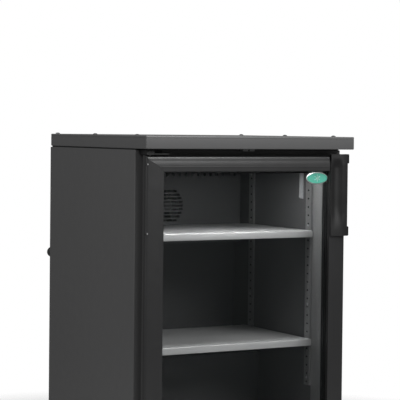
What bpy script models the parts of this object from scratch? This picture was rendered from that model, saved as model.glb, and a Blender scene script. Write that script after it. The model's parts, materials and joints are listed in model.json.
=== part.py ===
"""Undercounter display refrigerator: a foamed steel cabinet with one glazed swing door.

Frame: X to the right seen from the front, Y to the back, Z up. The origin is on the floor, under
the middle of the overall box. All sizes are in metres.
"""
import math

import bmesh
import bpy
from mathutils import Matrix, Vector

# ---------------------------------------------------------------- driving dimensions
WIDTH = 0.602                 # cabinet
HEIGHT = 0.900                # floor to the top of the worktop plate
DEPTH = 0.598                 # plate's front edge to the tips of the wall spacers
CLEAR = 0.0003                # gap between pieces that touch
SHEET = 0.0008                # folded steel sheet

HALF_W = WIDTH / 2
PLATE_FRONT = -DEPTH / 2      # every depth is counted back from here
PLATE_WIDTH, PLATE_DEPTH = 0.606, 0.563
PLATE_THICK = 0.0325
PLATE_EDGE = 0.0015
SHADOW_GAP = 0.003            # between the plate and the cabinet
CAB_FRONT = PLATE_FRONT + 0.062
CAB_REAR = PLATE_FRONT + 0.568
CAB_TOP = HEIGHT - PLATE_THICK - SHADOW_GAP
CAB_BOTTOM = 0.018

# Cavity of the liner.
ROOM_HALF = 0.250
ROOM_FLOOR = 0.095
ROOM_TOP = 0.816
ROOM_REAR = CAB_REAR - 0.047
STEP_FRONT = 0.078            # the cavity's floor rises here over the machine compartment
STEP_TOP = 0.300
LINER = 0.001
FOAM_WALL = 0.035             # insulation round the machine compartment
FOAM_BOTTOM = 0.050
BEZEL_THICK = 0.0035
FLANGE_IN = 0.262             # inner edge of the cabinet's front flanges
FLANGE_TOP = 0.828
FLANGE_BOTTOM = 0.083

# Door.
DOOR_HALF = 0.292
DOOR_BOTTOM = 0.060
DOOR_TOP = 0.852
DOOR_FRONT = PLATE_FRONT + 0.020
DOOR_SKIN = 0.017             # outer frame
DOOR_INSET = 0.014            # the inner frame stands in from the outer one
INNER_BACK = -0.247
STILE = 0.0505
RAIL = 0.041
GLASS_FRONT = DOOR_FRONT + 0.011
GLASS_THICK = 0.004
GLASS_PACK = 0.014
GLASS_LAP = 0.012             # hidden behind the frame's lip
PIN_X, PIN_Y = -0.2785, -0.2705
PIN_R, PIN_HOLE_R = 0.0040, 0.0041
PIN_LENGTH = 0.014

# Shelves and their rails.
SHELF_TOPS = {"upper": 0.653, "lower": 0.367}
SHELF_FRONT = PLATE_FRONT + 0.107
SHELF_REAR = 0.145
SHELF_SHEET = 0.001
SHELF_LIP = 0.018
LIP_HALF = 0.2485
SHELF_HALF = 0.2430
RAIL_DEPTH = 0.006
RAIL_WIDTH = 0.024
RAIL_FRONTS = {"front": PLATE_FRONT + 0.112, "rear": 0.105}
RAIL_BOTTOMS = {"front": 0.243, "rear": STEP_TOP + 0.002}
RAIL_TOP = 0.810
HOLE_PITCH = 0.022
HOLE_SIZE = (0.008, 0.0045)
HOLES_BELOW, HOLES_ABOVE = 18, 6
CLIP_DROP = 0.005             # from the shelf's top down to the hole its clip hangs in

# Base.
GRILLE_FRONT, GRILLE_BACK = -0.262, CAB_FRONT - CLEAR
GRILLE_BOTTOM, GRILLE_TOP = 0.014, 0.053
FOOT_SPOTS = {"front_left": (-0.262, -0.200), "front_right": (0.262, -0.200),
              "rear_left": (-0.262, 0.230), "rear_right": (0.262, 0.230)}

ROUND = 32                    # facets of a round piece


# ---------------------------------------------------------------- helpers
for old in list(bpy.data.objects):
    bpy.data.objects.remove(old)

parts = bpy.data.collections.new("undercounter_refrigerator")
cutters = bpy.data.collections.new("cutters")
for collection in (parts, cutters):
    bpy.context.scene.collection.children.link(collection)

# slot: colour, roughness, metallic
FINISHES = {
    "cabinet_paint": ((0.062, 0.062, 0.063), 0.42, 0.0),
    "top_paint": ((0.078, 0.078, 0.079), 0.45, 0.0),
    "door_paint": ((0.030, 0.030, 0.031), 0.35, 0.0),
    "handle_plastic": ((0.018, 0.018, 0.018), 0.38, 0.0),
    "black_plastic": ((0.015, 0.015, 0.015), 0.50, 0.0),
    "light_plastic": ((0.52, 0.53, 0.54), 0.45, 0.0),
    "gasket_rubber": ((0.012, 0.012, 0.012), 0.70, 0.0),
    "foot_rubber": ((0.014, 0.014, 0.014), 0.80, 0.0),
    "clear_glass": ((0.90, 0.93, 0.93), 0.03, 0.0),
    "lamp_lens": ((0.93, 0.94, 0.95), 0.30, 0.0),
    "liner_sheet": ((0.16, 0.16, 0.165), 0.45, 0.0),
    "shelf_steel": ((0.42, 0.42, 0.43), 0.36, 0.9),
    "rail_steel": ((0.30, 0.30, 0.31), 0.40, 0.9),
    "bare_steel": ((0.45, 0.46, 0.47), 0.40, 0.9),
    "foam": ((0.80, 0.72, 0.45), 0.90, 0.0),
    "fin_aluminium": ((0.70, 0.71, 0.73), 0.35, 1.0),
    "compressor_paint": ((0.020, 0.020, 0.021), 0.35, 0.0),
    "badge_enamel": ((0.07, 0.30, 0.23), 0.22, 0.0),
}


def finish(slot):
    """The slot's material, made the first time it is asked for."""
    material = bpy.data.materials.get(slot)
    if material is None:
        colour, roughness, metallic = FINISHES[slot]
        material = bpy.data.materials.new(slot)
        material.use_nodes = True
        shader = material.node_tree.nodes["Principled BSDF"]
        shader.inputs["Base Color"].default_value = (*colour, 1.0)
        shader.inputs["Roughness"].default_value = roughness
        shader.inputs["Metallic"].default_value = metallic
    return material


def add(name, mesh, slot=None):
    """An object of the mesh: a part with its slot's finish, or a wire cutter without one."""
    obj = bpy.data.objects.new(name, mesh)
    if slot is None:
        cutters.objects.link(obj)
        obj.hide_render = True
        obj.display_type = 'WIRE'
    else:
        parts.objects.link(obj)
        mesh.materials.clear()
        mesh.materials.append(finish(slot))
    return obj


def closed_mesh(name, build):
    """A mesh from a bmesh that `build` fills, with its faces turned outwards."""
    mesh = bpy.data.meshes.new(name)
    work = bmesh.new()
    build(work)
    bmesh.ops.remove_doubles(work, verts=work.verts, dist=1e-6)
    bmesh.ops.recalc_face_normals(work, faces=work.faces)
    work.to_mesh(mesh)
    work.free()
    return mesh


def block(name, x, y, z, slot=None):
    """A box between the given pairs of X, Y and Z."""
    size = Vector((x[1] - x[0], y[1] - y[0], z[1] - z[0]))
    middle = Vector((x[0] + x[1], y[0] + y[1], z[0] + z[1])) / 2
    place = Matrix.Translation(middle) @ Matrix.Diagonal((*size, 1))
    mesh = closed_mesh(name, lambda work: bmesh.ops.create_cube(work, size=1, matrix=place))
    return add(name, mesh, slot)


def blocks(name, boxes):
    """One cutter that holds several separate boxes, each given as its X, Y and Z pairs."""
    def fill(work):
        for box in boxes:
            low, high = (Vector(corner) for corner in zip(*box))
            place = Matrix.Translation((low + high) / 2) @ Matrix.Diagonal((*(high - low), 1))
            bmesh.ops.create_cube(work, size=1, matrix=place)
    return add(name, closed_mesh(name, fill))


def evaluated_mesh(obj, name):
    """The object's mesh after its modifiers, in world space; the object is removed."""
    graph = bpy.context.evaluated_depsgraph_get()
    mesh = bpy.data.meshes.new_from_object(obj.evaluated_get(graph))
    mesh.transform(obj.matrix_world)
    bpy.data.objects.remove(obj)

    def welded(work):
        work.from_mesh(mesh)
    return closed_mesh(name, welded)


# Turns of a flat outline (u, v) so that it faces along the named axis.
FACING = {
    "X": Matrix(((0, 0, 1, 0), (1, 0, 0, 0), (0, 1, 0, 0), (0, 0, 0, 1))),   # u = Y, v = Z
    "Y": Matrix(((1, 0, 0, 0), (0, 0, -1, 0), (0, 1, 0, 0), (0, 0, 0, 1))),  # u = X, v = Z
    "Z": Matrix.Identity(4),                                                 # u = X, v = Y
}


def prism(name, facing, loops, span, slot=None):
    """Flat outlines, the first one outside and the rest holes, extruded over `span` of an axis."""
    curve = bpy.data.curves.new(name, 'CURVE')
    curve.dimensions = '2D'
    curve.fill_mode = 'BOTH'
    curve.extrude = (span[1] - span[0]) / 2
    for loop in loops:
        spline = curve.splines.new('POLY')
        spline.points.add(len(loop) - 1)
        for point, (u, v) in zip(spline.points, loop):
            point.co = (u, v, 0, 1)
        spline.use_cyclic_u = True
    obj = bpy.data.objects.new(name, curve)
    parts.objects.link(obj)
    shift = Vector((0, 0, 0))
    shift["XYZ".index(facing)] = (span[0] + span[1]) / 2
    obj.matrix_world = Matrix.Translation(shift) @ FACING[facing]
    bpy.context.view_layer.update()
    return add(name, evaluated_mesh(obj, name), slot)


def turned(name, profile, at, direction="Z", slot=None, steps=ROUND):
    """A profile of (radius, height), run down the outer side, turned about an axis through `at`."""
    mesh = bpy.data.meshes.new(name)
    count = len(profile)
    edges = [(i, i + 1) for i in range(count - 1)]
    if profile[0][0] > 0:
        edges.append((count - 1, 0))
    mesh.from_pydata([(r, 0, h) for r, h in profile], edges, [])
    obj = bpy.data.objects.new(name, mesh)
    parts.objects.link(obj)
    screw = obj.modifiers.new("turn", 'SCREW')
    screw.steps = steps
    screw.render_steps = steps
    screw.use_merge_vertices = True
    screw.merge_threshold = 0.00001
    obj.matrix_world = Matrix.Translation(at) @ FACING[direction]
    bpy.context.view_layer.update()
    body = evaluated_mesh(obj, name)
    body.shade_smooth()
    body.set_sharp_from_angle(angle=math.radians(35))
    return add(name, body, slot)


def rod(name, radius, heights, at, direction="Z", slot=None, steps=ROUND):
    """A plain cylinder between two heights along the axis."""
    low, high = heights
    profile = [(0, high), (radius, high), (radius, low), (0, low)]
    return turned(name, profile, at, direction, slot, steps)


def combine(obj, operation, *tools):
    """Booleans that stay live on the object; the tools become wire cutters."""
    for tool in tools:
        modifier = obj.modifiers.new(tool.name, 'BOOLEAN')
        modifier.operation = operation
        modifier.solver = 'EXACT'
        modifier.object = tool
    return obj


def cut(obj, *tools):
    return combine(obj, 'DIFFERENCE', *tools)


def join(obj, *tools):
    return combine(obj, 'UNION', *tools)


def settle(obj):
    """The booleans applied, for a piece that is turned into place afterwards."""
    graph = bpy.context.evaluated_depsgraph_get()
    mesh = bpy.data.meshes.new_from_object(obj.evaluated_get(graph))
    tools = [modifier.object for modifier in obj.modifiers]
    obj.modifiers.clear()
    obj.data = closed_mesh(obj.name, lambda work: work.from_mesh(mesh))
    obj.data.materials.clear()
    obj.data.materials.append(finish("black_plastic"))
    for tool in tools:
        bpy.data.objects.remove(tool)


def soften(obj, width, segments=2, angle=35):
    """Rounded edges."""
    bevel = obj.modifiers.new("soft_edges", 'BEVEL')
    bevel.width = width
    bevel.segments = segments
    bevel.limit_method = 'ANGLE'
    bevel.angle_limit = math.radians(angle)
    return obj


def rectangle(u, v, radius=0.0, steps=4):
    """A rectangle's corners, or its corner arcs where a radius is given."""
    if radius == 0:
        return [(u[0], v[0]), (u[1], v[0]), (u[1], v[1]), (u[0], v[1])]
    centres = [(u[1] - radius, v[1] - radius, 0), (u[0] + radius, v[1] - radius, 90),
               (u[0] + radius, v[0] + radius, 180), (u[1] - radius, v[0] + radius, 270)]
    points = []
    for cu, cv, start in centres:
        for i in range(steps + 1):
            angle = math.radians(start + 90 * i / steps)
            points.append((cu + radius * math.cos(angle), cv + radius * math.sin(angle)))
    return points


def circle(u, v, radius, steps=ROUND):
    """A circle's points."""
    angles = [math.tau * i / steps for i in range(steps)]
    return [(u + radius * math.cos(a), v + radius * math.sin(a)) for a in angles]


def spread(low, high, count):
    """`count` evenly spaced values from low to high."""
    return [low + (high - low) * i / (count - 1) for i in range(count)]


def hang_on(name, at, objects):
    """An empty on a joint's axis that carries the moving objects."""
    empty = bpy.data.objects.new(name, None)
    empty.location = at
    empty.empty_display_size = 0.03
    parts.objects.link(empty)
    bpy.context.view_layer.update()
    for obj in objects:
        obj.parent = empty
        obj.matrix_parent_inverse = empty.matrix_world.inverted()
    return empty


# ---------------------------------------------------------------- cabinet
def side_panels():
    """Outer side walls, each folded round into the cabinet's front flange."""
    for name, s in (("left", -1), ("right", 1)):
        inner = HALF_W - SHEET
        back = CAB_FRONT + SHEET
        loop = [(s * HALF_W, CAB_FRONT), (s * HALF_W, CAB_REAR), (s * inner, CAB_REAR),
                (s * inner, back), (s * FLANGE_IN, back), (s * FLANGE_IN, CAB_FRONT)]
        prism("side_panel_" + name, "Z", [loop], (CAB_BOTTOM, CAB_TOP), "cabinet_paint")


def back_panel():
    """Rear sheet with louvre slots into the machine compartment and a hole for the lead."""
    half = HALF_W - SHEET - CLEAR
    loops = [rectangle((-half, half), (CAB_BOTTOM + 0.002, CAB_TOP - SHEET - CLEAR))]
    slot_length, slot_height = 0.080, 0.006
    for x in spread(-0.220, 0.220, 5):
        for z in spread(0.100, 0.240, 8):
            loops.append(rectangle((x - slot_length / 2, x + slot_length / 2),
                                   (z - slot_height / 2, z + slot_height / 2)))
    loops.append(circle(*GLAND_SPOT, GLAND_STEM_R + CLEAR, 24))
    prism("back_panel", "Y", loops, (CAB_REAR - SHEET, CAB_REAR), "bare_steel")


GLAND_SPOT = (0.225, 0.055)
GLAND_STEM_R = 0.007


def cable_gland():
    """Strain-relief gland in the back panel, with a bore for the mains lead."""
    rear = CAB_REAR + CLEAR
    profile = [(0.0115, rear + 0.004), (0.0115, rear), (GLAND_STEM_R, rear),
               (GLAND_STEM_R, rear - 0.012), (0.0038, rear - 0.012), (0.0038, rear + 0.012),
               (0.0065, rear + 0.012), (0.0085, rear + 0.004)]
    flipped = [(r, -y) for r, y in reversed(profile)]
    turned("cable_gland", flipped, (GLAND_SPOT[0], 0, GLAND_SPOT[1]), "Y", "black_plastic", 24)


def wall_spacers():
    """Domed buffers that hold the cabinet off the wall, so warm air can rise behind it."""
    foot_r, tip = 0.0135, -PLATE_FRONT
    seat = CAB_REAR + CLEAR
    dome = tip - seat - foot_r * 0.6
    for name, x in (("left", -0.285), ("right", 0.285)):
        arc = []
        for i in range(7):
            angle = math.radians(90 * i / 6)
            arc.append((foot_r * math.sin(angle),
                        -(seat + dome + foot_r * 0.6 * math.cos(angle))))
        profile = [(0, -seat), (foot_r, -seat)] + list(reversed(arc))
        turned("wall_spacer_" + name, profile, (x, 0, 0.577), "Y", "black_plastic", 24)


def base_pan():
    """Floor sheet of the machine compartment, folded up in front round an air window."""
    half = HALF_W - SHEET - CLEAR
    sheet = 0.0015
    pan = block("base_pan", (-half, half), (CAB_FRONT + SHEET + CLEAR, CAB_REAR - SHEET - CLEAR),
                (CAB_BOTTOM, CAB_BOTTOM + sheet), "bare_steel")
    sill_half = FLANGE_IN - CLEAR
    sill = prism("base_pan_sill", "Y",
                 [rectangle((-sill_half, sill_half), (CAB_BOTTOM, FLANGE_BOTTOM)),
                  rectangle((-0.230, 0.230), (0.023, 0.046))],
                 (CAB_FRONT, CAB_FRONT + sheet))
    holes = [rod("foot_hole_" + name, 0.0044, (0.0, 0.040), (x, y, 0), steps=16)
             for name, (x, y) in FOOT_SPOTS.items()]
    join(pan, sill)
    cut(pan, *holes)


def feet():
    """Screw-in levelling feet: a rubber-soled disc on a threaded stem."""
    gap = CAB_BOTTOM - CLEAR
    profile = [(0, 0.040), (0.0035, 0.040), (0.0040, 0.0392), (0.0040, gap), (0.0085, gap),
               (0.0085, gap - 0.0055), (0.0120, gap - 0.0060), (0.0160, 0.0080), (0.0170, 0.0065),
               (0.0170, 0.0012), (0.0158, 0), (0, 0)]
    for name, (x, y) in FOOT_SPOTS.items():
        foot = turned("foot_" + name, profile, (0, 0, 0), "Z", "foot_rubber", 24)
        foot.location = (x, y, 0)


def foam_and_liner():
    """Foamed insulation, stepped over the machine compartment, and the liner that it backs."""
    half = HALF_W - SHEET - CLEAR
    front = CAB_FRONT + BEZEL_THICK + CLEAR
    foam = block("foam_insulation", (-half, half), (front, CAB_REAR - SHEET - CLEAR),
                 (FOAM_BOTTOM, CAB_TOP - SHEET - CLEAR), "foam")

    def cavity(name, grow, slot=None):
        """The stepped room, grown by `grow`, with its front left open or closed by `slot`."""
        start = front - (0.02 if slot is None else 0.0)
        room = block(name, (-ROOM_HALF - grow, ROOM_HALF + grow), (start, ROOM_REAR + grow),
                     (ROOM_FLOOR - grow, ROOM_TOP + grow), slot)
        step = block(name + "_step", (-0.4, 0.4), (STEP_FRONT + grow, 0.4),
                     (0.0, STEP_TOP - grow))
        return cut(room, step)

    compartment = block("machine_space", (-0.4, 0.4), (STEP_FRONT + FOAM_WALL, 0.4),
                        (0.0, STEP_TOP - FOAM_WALL))
    cut(foam, cavity("foam_cavity", LINER + CLEAR), compartment)
    liner = cavity("inner_liner", LINER, "liner_sheet")
    cut(liner, cavity("liner_cavity", 0.0))


def breaker_frame():
    """Plastic frame round the cavity's mouth that keeps cold off the outer sheet."""
    outer = rectangle((-FLANGE_IN + CLEAR, FLANGE_IN - CLEAR),
                      (FLANGE_BOTTOM + CLEAR, FLANGE_TOP - CLEAR))
    inner = rectangle((-ROOM_HALF - CLEAR, ROOM_HALF + CLEAR),
                      (ROOM_FLOOR - CLEAR, ROOM_TOP + CLEAR))
    prism("breaker_frame", "Y", [outer, inner],
          (CAB_FRONT + SHEET * 2 + CLEAR, CAB_FRONT + BEZEL_THICK), "black_plastic")


def top_deck():
    """Cabinet's top sheet with a folded front band, and raised pads under the worktop plate."""
    half = HALF_W - SHEET - CLEAR
    behind_flange = CAB_FRONT + SHEET + CLEAR
    band_half = FLANGE_IN - CLEAR
    deck = block("top_deck", (-half, half), (behind_flange, CAB_REAR - SHEET - CLEAR),
                 (CAB_TOP - SHEET, CAB_TOP), "cabinet_paint")
    band = block("deck_band", (-band_half, band_half), (CAB_FRONT, CAB_FRONT + SHEET),
                 (FLANGE_TOP, CAB_TOP))
    nose = block("deck_nose", (-band_half, band_half), (CAB_FRONT, behind_flange + 0.004),
                 (CAB_TOP - SHEET, CAB_TOP))
    pads = []
    for x in (-0.24, 0.24):
        for y in (-0.17, 0.20):
            pads.append(block("deck_pad", (x - 0.02, x + 0.02), (y - 0.02, y + 0.02),
                              (CAB_TOP - SHEET / 2, CAB_TOP + SHADOW_GAP - CLEAR)))
    join(deck, nose, band, *pads)


def top_plate():
    """Worktop plate with softened edges."""
    half = PLATE_WIDTH / 2
    plate = block("top_plate", (-half, half), (PLATE_FRONT, PLATE_FRONT + PLATE_DEPTH),
                  (HEIGHT - PLATE_THICK, HEIGHT), "top_paint")
    soften(plate, PLATE_EDGE, 3)


def top_plugs():
    """Flat-topped plugs along both ends of the worktop plate."""
    radius, rise = 0.006, 0.003
    base = HEIGHT + CLEAR
    profile = [(0, base + rise), (radius * 0.50, base + rise), (radius * 0.85, base + rise * 0.70),
               (radius, base + rise * 0.20), (radius, base), (0, base)]
    for side, x in (("left", -0.2905), ("right", 0.286)):
        for place, depth in (("front", 0.072), ("middle", 0.310), ("rear", 0.545)):
            turned(f"top_plug_{place}_{side}", profile, (x, PLATE_FRONT + depth, 0), "Z",
                   "black_plastic", 20)


# ---------------------------------------------------------------- door
def door_frame():
    """Door frame: a broad outer frame, a narrower inner one and a slot for the glazing."""
    outer = block("door_frame", (-DOOR_HALF, DOOR_HALF), (DOOR_FRONT, DOOR_FRONT + DOOR_SKIN),
                  (DOOR_BOTTOM, DOOR_TOP), "door_paint")
    soften(outer, 0.004, 3)
    inner_half = DOOR_HALF - DOOR_INSET
    inner = block("door_inner_frame", (-inner_half, inner_half),
                  (DOOR_FRONT + DOOR_SKIN - 0.002, INNER_BACK),
                  (DOOR_BOTTOM + DOOR_INSET, DOOR_TOP - DOOR_INSET))
    window = block("door_window", (-DOOR_HALF + STILE, DOOR_HALF - STILE), (-0.30, -0.260),
                   (DOOR_BOTTOM + RAIL, DOOR_TOP - RAIL))
    play = 0.0005
    grow = GLASS_LAP + play
    pocket = block("glass_pocket", (-DOOR_HALF + STILE - grow, DOOR_HALF - STILE + grow),
                   (GLASS_FRONT - CLEAR, GLASS_FRONT + GLASS_PACK + CLEAR),
                   (DOOR_BOTTOM + RAIL - grow, DOOR_TOP - RAIL + grow))
    rear_window = block("door_rear_window", (-DOOR_HALF + STILE - 0.002, DOOR_HALF - STILE + 0.002),
                        (-0.260, -0.20), (DOOR_BOTTOM + RAIL - 0.002, DOOR_TOP - RAIL + 0.002))
    reach = PIN_LENGTH + 0.002
    holes = [rod("pin_hole_top", PIN_HOLE_R, (DOOR_TOP - reach, DOOR_TOP + 0.01),
                 (PIN_X, PIN_Y, 0)),
             rod("pin_hole_bottom", PIN_HOLE_R, (DOOR_BOTTOM - 0.01, DOOR_BOTTOM + reach),
                 (PIN_X, PIN_Y, 0))]
    join(outer, inner)
    cut(outer, window, pocket, rear_window, *holes)
    return outer


def glazing():
    """Two panes and the spacer frame that seals them."""
    half = DOOR_HALF - STILE + GLASS_LAP
    z = (DOOR_BOTTOM + RAIL - GLASS_LAP, DOOR_TOP - RAIL + GLASS_LAP)
    rear = GLASS_FRONT + GLASS_PACK
    pane_front = block("door_glass_outer", (-half, half),
                       (GLASS_FRONT, GLASS_FRONT + GLASS_THICK), z, "clear_glass")
    pane_rear = block("door_glass_inner", (-half, half), (rear - GLASS_THICK, rear), z,
                      "clear_glass")
    bar = 0.011
    spacer = prism("glass_spacer", "Y",
                   [rectangle((-half, half), z),
                    rectangle((-half + bar, half - bar), (z[0] + bar, z[1] - bar))],
                   (GLASS_FRONT + GLASS_THICK + CLEAR, rear - GLASS_THICK - CLEAR),
                   "black_plastic")
    return [pane_front, pane_rear, spacer]


def door_gasket():
    """Magnetic gasket round the door's back."""
    edge, width = 0.015, 0.016
    half = DOOR_HALF - edge
    outer = rectangle((-half, half), (DOOR_BOTTOM + edge, DOOR_TOP - edge))
    inner = rectangle((-half + width, half - width),
                      (DOOR_BOTTOM + edge + width, DOOR_TOP - edge - width))
    return prism("door_gasket", "Y", [outer, inner], (INNER_BACK + CLEAR, CAB_FRONT - CLEAR),
                 "gasket_rubber")


def handle_grip():
    """Moulded pull on the free stile: a sloped pad with a thumb scoop, a lip and two end blocks."""
    top, bottom = HEIGHT - 0.0445, HEIGHT - 0.256
    seat = DOOR_FRONT - CLEAR
    crest = DOOR_FRONT - 0.0085
    side = DOOR_HALF + CLEAR
    lip = 0.2938
    loop = [(0.2430, seat), (0.2430, seat - 0.0024), (0.2560, seat - 0.0036),
            (0.2690, seat - 0.0070), (0.2740, crest), (lip - 0.003, crest), (lip, crest + 0.003),
            (lip, DOOR_FRONT + 0.004), (side, DOOR_FRONT + 0.004), (side, seat)]
    grip = prism("handle_grip", "Z", [loop], (bottom, top), "handle_plastic")
    block_height = 0.024
    ends = []
    for name, z in (("upper", top - block_height), ("lower", bottom)):
        end = block("handle_end_" + name, (side, 0.2985), (crest + 0.003, DOOR_FRONT + 0.014),
                    (z, z + block_height))
        ends.append(soften(end, 0.0015, 2))
    radius, reach = 0.0155, 0.0155
    low, high = HEIGHT - 0.235, HEIGHT - 0.073
    arc = [math.radians(90 * i / 6) for i in range(7)]
    profile = [(radius * math.sin(a), high - reach + reach * math.cos(a)) for a in arc]
    profile += [(radius * math.cos(a), low + reach - reach * math.sin(a)) for a in arc]
    scoop = turned("thumb_scoop", profile, (0.255, DOOR_FRONT - 0.017, 0), steps=32)
    join(grip, *ends)
    cut(grip, scoop)
    return grip


def door_badge():
    """Plain enamelled badge on the outer pane."""
    middle_x, middle_z, half_x, half_z = 0.2085, HEIGHT - 0.1065, 0.0325, 0.0155
    loop = rectangle((middle_x - half_x, middle_x + half_x),
                     (middle_z - half_z, middle_z + half_z), 0.0150, 8)
    badge = prism("door_badge", "Y", [loop], (GLASS_FRONT - 0.0025, GLASS_FRONT - CLEAR),
                  "badge_enamel")
    return soften(badge, 0.0006, 2)


def hinge_brackets():
    """Steel hinge plates on the cabinet's front, each with a pin into the door."""
    wall = CAB_FRONT - CLEAR
    for name, s, face in (("top", 1, DOOR_TOP + 0.0015), ("bottom", -1, DOOR_BOTTOM - 0.0015)):
        tab_end = face + s * (0.0105 if s > 0 else 0.003)
        plate = block("hinge_bracket_" + name, (-0.289, -0.228), (-0.2775, wall),
                      sorted((face, face + s * 0.003)), "bare_steel")
        knuckle = block("hinge_knuckle_" + name, (-0.289, -0.268), (-0.2775, wall),
                        sorted((face, tab_end)))
        flange = block("hinge_flange_" + name, (-0.289, -0.228), (wall - 0.003, wall),
                       sorted((face, tab_end)))
        pin = rod("hinge_pin_" + name, PIN_R,
                  sorted((face + s * 0.002, face - s * (PIN_LENGTH + 0.0015 - CLEAR))),
                  (PIN_X, PIN_Y, 0))
        join(plate, knuckle, flange, pin)


# ---------------------------------------------------------------- interior
def shelf_rails():
    """Channel rails on both side walls, slotted at an even pitch."""
    middle = SHELF_TOPS["upper"] - CLIP_DROP
    sheet = 0.0012
    for place, front in RAIL_FRONTS.items():
        rear, bottom = front + RAIL_WIDTH, RAIL_BOTTOMS[place]
        y = (front + rear) / 2
        heights = [middle + k * HOLE_PITCH for k in range(-HOLES_BELOW, HOLES_ABOVE + 1)]
        for side, s in (("left", -1), ("right", 1)):
            face, wall = s * (ROOM_HALF - RAIL_DEPTH), s * (ROOM_HALF - CLEAR)
            web = face + s * sheet
            channel = [(face, front), (wall, front), (wall, front + sheet), (web, front + sheet),
                       (web, rear - sheet), (wall, rear - sheet), (wall, rear), (face, rear)]
            rail = prism(f"shelf_rail_{place}_{side}", "Z", [channel], (bottom, RAIL_TOP),
                         "rail_steel")
            slots = [((face - 0.002, face + 0.002), (y - HOLE_SIZE[0] / 2, y + HOLE_SIZE[0] / 2),
                      (z - HOLE_SIZE[1] / 2, z + HOLE_SIZE[1] / 2))
                     for z in heights if z - HOLE_SIZE[1] > bottom]
            cut(rail, blocks(f"rail_slots_{place}_{side}", slots))


def shelves():
    """Folded sheet shelves with a deep front lip and short side and rear flanges."""
    fold = 0.012
    for name, top in SHELF_TOPS.items():
        under = top - SHELF_SHEET
        shelf = block("shelf_" + name, (-SHELF_HALF, SHELF_HALF), (SHELF_FRONT + 0.001, SHELF_REAR),
                      (under, top), "shelf_steel")
        lip = block("shelf_lip_" + name, (-LIP_HALF, LIP_HALF), (SHELF_FRONT, SHELF_FRONT + 0.004),
                    (top - SHELF_LIP, top))
        soften(lip, 0.0012, 2)
        side_folds = []
        for s in (-1, 1):
            span = sorted((s * (SHELF_HALF - 0.0145), s * (SHELF_HALF - 0.0135)))
            side_folds.append(block("shelf_fold", span, (SHELF_FRONT + 0.003, SHELF_REAR - 0.0004),
                                    (top - fold, top - SHELF_SHEET / 2)))
        rear_fold = block("shelf_rear_fold", (-SHELF_HALF + 0.0140, SHELF_HALF - 0.0140),
                          (SHELF_REAR - SHELF_SHEET, SHELF_REAR),
                          (top - fold - 0.0005, top - SHELF_SHEET / 2))
        join(shelf, lip, *side_folds, rear_fold)


def shelf_clips():
    """Hooked clips in the rails that carry the shelves."""
    for level, top in SHELF_TOPS.items():
        hole_z = top - CLIP_DROP
        ledge = (hole_z - 0.0045, top - SHELF_SHEET - CLEAR)
        for place, front in RAIL_FRONTS.items():
            y = front + RAIL_WIDTH / 2
            for side, s in (("left", -1), ("right", 1)):
                face = s * (ROOM_HALF - RAIL_DEPTH)
                tongue = sorted((face - s * CLEAR, face - s * 0.0100))
                clip = block(f"shelf_clip_{level}_{place}_{side}", tongue, (y - 0.009, y + 0.009),
                             ledge, "bare_steel")
                tab = block("clip_tab", sorted((face - s * 0.001, face + s * 0.0035)),
                            (y - 0.0035, y + 0.0035), (hole_z - 0.0018, hole_z + 0.0018))
                join(clip, tab)


FAN_SIZE = 0.120
FAN_BORE = 0.0533
EVAP_FAN = (0.0, 0.1630, 0.705)
COND_FAN = (0.1650, 0.190, 0.105)


def fan(name, at, turn):
    """A square fan frame with its motor hub on four struts, and a five-bladed rotor.

    It is modelled blowing along its own Y from y = 0 and then turned and placed.
    """
    half = FAN_SIZE / 2
    frame = prism(name + "_fan_frame", "Y",
                  [rectangle((-half, half), (-half, half), 0.006), circle(0, 0, FAN_BORE)],
                  (0.0, 0.025), "black_plastic")
    motor = rod(name + "_motor", 0.020, (-0.0245, -0.017), (0, 0, 0), "Y", steps=24)
    struts = [block(name + "_strut", (-0.057, 0.057), (0.0205, 0.0240), (-0.003, 0.003)),
              block(name + "_strut", (-0.003, 0.003), (0.0209, 0.0236), (-0.057, 0.057))]
    join(frame, motor, *struts)
    profile = [(0, -0.001), (0.017, -0.001), (0.019, -0.003), (0.019, -0.0165), (0, -0.0165)]
    rotor = turned(name + "_fan", profile, (0, 0, 0), "Y", "black_plastic", 24)
    blades = []
    for i in range(5):
        blade = block(name + "_blade", (0.016, 0.051), (-0.0008, 0.0008), (-0.009, 0.009))
        pitch = Matrix.Rotation(math.radians(62), 4, 'X')
        around = Matrix.Rotation(math.tau * i / 5, 4, 'Y')
        blade.data.transform(Matrix.Translation((0, 0.0083, 0)) @ around @ pitch)
        blades.append(blade)
    join(rotor, *blades)
    for obj in (frame, rotor):
        settle(obj)
        obj.matrix_world = Matrix.Translation(at) @ turn


def evaporator():
    """Cooling unit on the rear wall: a slotted cover over the fan and the finned coil."""
    cover_front, cover_rear = 0.160, ROOM_REAR - CLEAR
    half, z = 0.235, (0.600, ROOM_TOP - CLEAR)
    wall = 0.0015
    cover = block("evaporator_cover", (-half, half), (cover_front, cover_rear), z, "liner_sheet")
    soften(cover, 0.003, 2)
    hollow = block("cover_hollow", (-half + wall, half - wall), (cover_front + wall, 0.4),
                   (z[0] + wall, z[1] - wall))
    through, guard_r, guard_pitch = (0.15, cover_front + 0.004), 0.050, 0.010
    slots = [((x - 0.003, x + 0.003), through, (z[1] - 0.030, z[1] - 0.008))
             for x in spread(-0.215, 0.215, 23)]
    for k in range(-4, 5):
        reach = math.sqrt(guard_r ** 2 - (k * guard_pitch) ** 2)
        middle = EVAP_FAN[2] + k * guard_pitch
        slots.append(((-reach, reach), through, (middle - 0.003, middle + 0.003)))
    cut(cover, hollow, blocks("cover_slots", slots))
    fan("evaporator", EVAP_FAN, Matrix.Identity(4))
    finned_block("evaporator_coil", "Y", (-0.190, 0.190), (0.615, 0.800), (0.1905, 0.2190), 24)


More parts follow.
